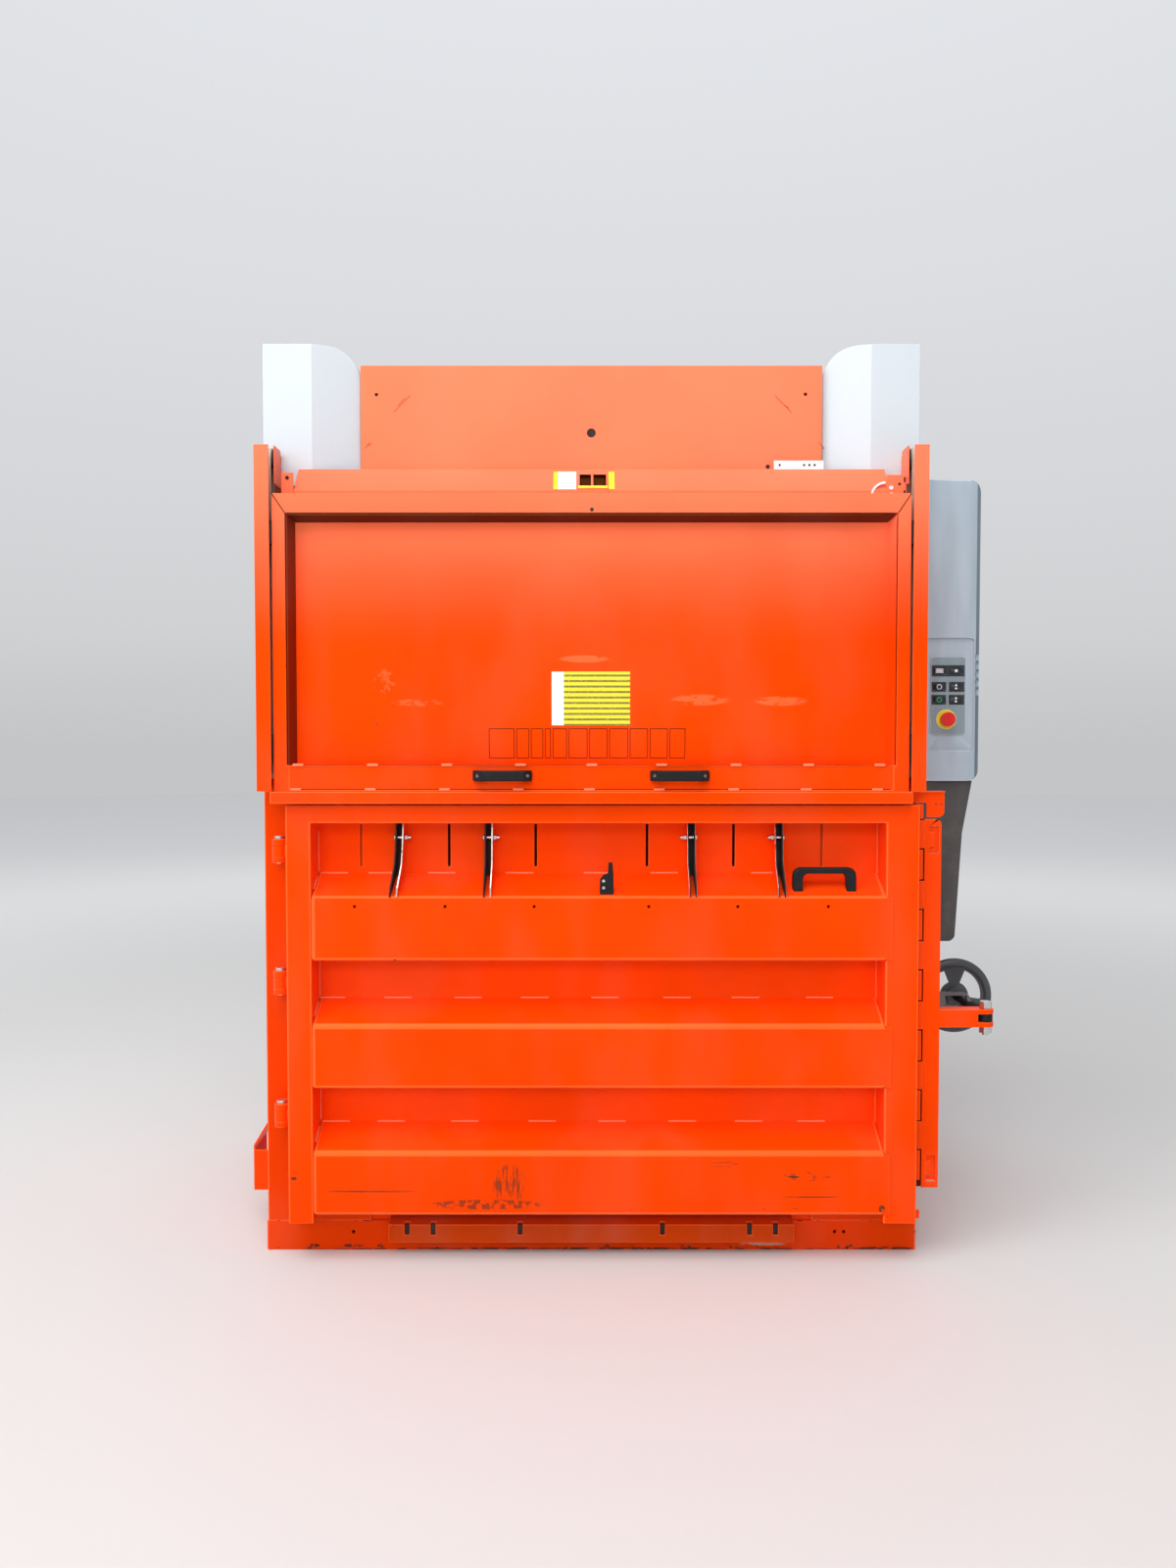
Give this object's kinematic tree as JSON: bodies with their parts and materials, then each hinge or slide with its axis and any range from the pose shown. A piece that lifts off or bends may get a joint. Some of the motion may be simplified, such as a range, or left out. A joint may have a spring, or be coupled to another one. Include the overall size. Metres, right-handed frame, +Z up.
{
  "type": "recycling baler",
  "caption": "Upright recycling baler with a lifting loading hatch, a hinged chamber door under it, a toothed lock bar with handwheel, side cylinders and a control cabinet.",
  "frame": {"origin": "centre of the base's underside, on the floor", "axes": "+Z up, -Y towards the front with the hatch and the door, +X to the right with the control cabinet"},
  "size_m": [2.128, 1.246, 2.447],
  "materials": {
    "orange_paint": "glossy orange machine enamel with chips and scuffs",
    "cover_grey": "silver-grey coated sheet",
    "cabinet_grey": "moulded silver-grey housing",
    "duct_grey": "dark grey moulded duct",
    "raw_steel": "worn bare steel",
    "zinc_steel": "zinc-plated fasteners",
    "black_plastic": "black moulded plastic",
    "tank_grey": "dark grey enamel",
    "white_nylon": "pale wear plastic",
    "belt_grey": "grey-beige belt",
    "stop_red": "red moulded knob",
    "key_green": "green key",
    "key_dark": "dark key",
    "key_white": "white key"
  },
  "bodies": {
    "machine_frame": {"base_frame": "orange_paint", "chamber_floor": "raw_steel", "left_side_wall": "orange_paint", "right_side_wall": "orange_paint", "rear_wall": "orange_paint", "left_column": "orange_paint", "right_column": "orange_paint", "top_guard_panel": "orange_paint", "left_cylinder_cover": "cover_grey", "right_cylinder_cover": "cover_grey", "left_hatch_post": "orange_paint", "right_hatch_post": "orange_paint", "hatch_header": "orange_paint", "hatch_ledge": "orange_paint", "floor_strap_channel": "orange_paint", "left_cylinder_barrel": "tank_grey", "right_cylinder_barrel": "tank_grey", "oil_tank": "tank_grey", "pump_motor": "tank_grey", "valve_block": "zinc_steel", "control_cabinet": "cabinet_grey", "control_panel": "duct_grey", "cable_duct": "duct_grey", "switch_bracket": "orange_paint", "side_lug": "orange_paint", "hinge_lugs": "orange_paint", "hinge_pins": "zinc_steel", "spindle_bracket": "tank_grey", "hatch_belts": "belt_grey"},
    "chamber_door": {"door_frame": "orange_paint", "door_comb": "orange_paint", "door_beams": "orange_paint", "strap_guides": "orange_paint", "guide_bolts": "zinc_steel", "door_handle": "black_plastic", "door_catch": "black_plastic"},
    "lock_bar": {"lock_bar": "orange_paint", "lock_teeth": "orange_paint", "lock_bolt": "zinc_steel"},
    "spindle": {"lock_spindle": "black_plastic"},
    "handwheel": {"handwheel": "duct_grey"},
    "loading_hatch": {"hatch_frame": "orange_paint", "hatch_panel": "orange_paint", "hatch_handles": "black_plastic", "hatch_sliders": "white_nylon"},
    "press_platen": {"platen": "raw_steel", "yoke_beam": "orange_paint", "piston_rods": "zinc_steel", "guide_shoes": "white_nylon"},
    "upper_left_pulley": {"upper_left_pulley": "duct_grey"},
    "upper_right_pulley": {"upper_right_pulley": "duct_grey"},
    "lower_left_pulley": {"lower_left_pulley": "duct_grey"},
    "lower_right_pulley": {"lower_right_pulley": "duct_grey"},
    "emergency_stop": {"emergency_stop": "stop_red"},
    "start_key": {"start_key": "key_green"},
    "stop_key": {"stop_key": "key_dark"},
    "raise_key": {"raise_key": "key_dark"},
    "lower_key": {"lower_key": "key_dark"},
    "mode_key": {"mode_key": "key_white"},
    "reset_key": {"reset_key": "key_dark"}
  },
  "joints": [
    {"name": "door_swing", "type": "hinge", "parent": "machine_frame", "child": "chamber_door", "pos_m": [-0.829, -0.595, 0.6], "axis": [0, 0, -1], "range_deg": [0, 120]},
    {"name": "lock_swing", "type": "hinge", "parent": "machine_frame", "child": "lock_bar", "pos_m": [0.905, -0.59, 0.653], "axis": [0, 0, 1], "range_deg": [0, 35.01]},
    {"name": "spindle_swing", "type": "hinge", "parent": "lock_bar", "child": "spindle", "pos_m": [1.054, -0.596, 0.653], "axis": [0, 0, 1], "range_deg": [-35.01, 0]},
    {"name": "handwheel_turn", "type": "hinge", "parent": "spindle", "child": "handwheel", "pos_m": [1.054, -0.35, 0.653], "axis": [0, 1, 0], "range_deg": [0, 1080]},
    {"name": "hatch_lift", "type": "slide", "parent": "machine_frame", "child": "loading_hatch", "axis": [0, 0, 1], "range_m": [0, 0.62]},
    {"name": "platen_stroke", "type": "slide", "parent": "machine_frame", "child": "press_platen", "axis": [0, 0, -1], "range_m": [0, 0.95]},
    {"name": "upper_left_pulley_spin", "type": "hinge", "parent": "machine_frame", "child": "upper_left_pulley", "pos_m": [-0.846, -0.584, 2.133], "axis": [1, 0, 0], "range_deg": [-1330.5, 0]},
    {"name": "lower_left_pulley_spin", "type": "hinge", "parent": "machine_frame", "child": "lower_left_pulley", "pos_m": [-0.846, -0.584, 1.319], "axis": [1, 0, 0], "range_deg": [-1330.5, 0]},
    {"name": "upper_right_pulley_spin", "type": "hinge", "parent": "machine_frame", "child": "upper_right_pulley", "pos_m": [0.846, -0.584, 2.133], "axis": [1, 0, 0], "range_deg": [-1330.5, 0]},
    {"name": "lower_right_pulley_spin", "type": "hinge", "parent": "machine_frame", "child": "lower_right_pulley", "pos_m": [0.846, -0.584, 1.319], "axis": [1, 0, 0], "range_deg": [-1330.5, 0]},
    {"name": "emergency_press", "type": "slide", "parent": "machine_frame", "child": "emergency_stop", "axis": [0, 1, 0], "range_m": [0, 0.006], "stiffness_N_per_m": 800},
    {"name": "start_press", "type": "slide", "parent": "machine_frame", "child": "start_key", "axis": [0, 1, 0], "range_m": [0, 0.002], "stiffness_N_per_m": 600},
    {"name": "stop_press", "type": "slide", "parent": "machine_frame", "child": "stop_key", "axis": [0, 1, 0], "range_m": [0, 0.002], "stiffness_N_per_m": 600},
    {"name": "raise_press", "type": "slide", "parent": "machine_frame", "child": "raise_key", "axis": [0, 1, 0], "range_m": [0, 0.002], "stiffness_N_per_m": 600},
    {"name": "lower_press", "type": "slide", "parent": "machine_frame", "child": "lower_key", "axis": [0, 1, 0], "range_m": [0, 0.002], "stiffness_N_per_m": 600},
    {"name": "mode_press", "type": "slide", "parent": "machine_frame", "child": "mode_key", "axis": [0, 1, 0], "range_m": [0, 0.002], "stiffness_N_per_m": 600},
    {"name": "reset_press", "type": "slide", "parent": "machine_frame", "child": "reset_key", "axis": [0, 1, 0], "range_m": [0, 0.002], "stiffness_N_per_m": 600}
  ],
  "couplings": [
    {"joint": "lock_swing", "follows": "handwheel_turn", "ratio": 0.032407},
    {"joint": "spindle_swing", "follows": "handwheel_turn", "ratio": -0.032407},
    {"joint": "upper_left_pulley_spin", "follows": "hatch_lift", "rad_per_m": -37.313},
    {"joint": "lower_left_pulley_spin", "follows": "hatch_lift", "rad_per_m": -37.313},
    {"joint": "upper_right_pulley_spin", "follows": "hatch_lift", "rad_per_m": -37.313},
    {"joint": "lower_right_pulley_spin", "follows": "hatch_lift", "rad_per_m": -37.313}
  ]
}
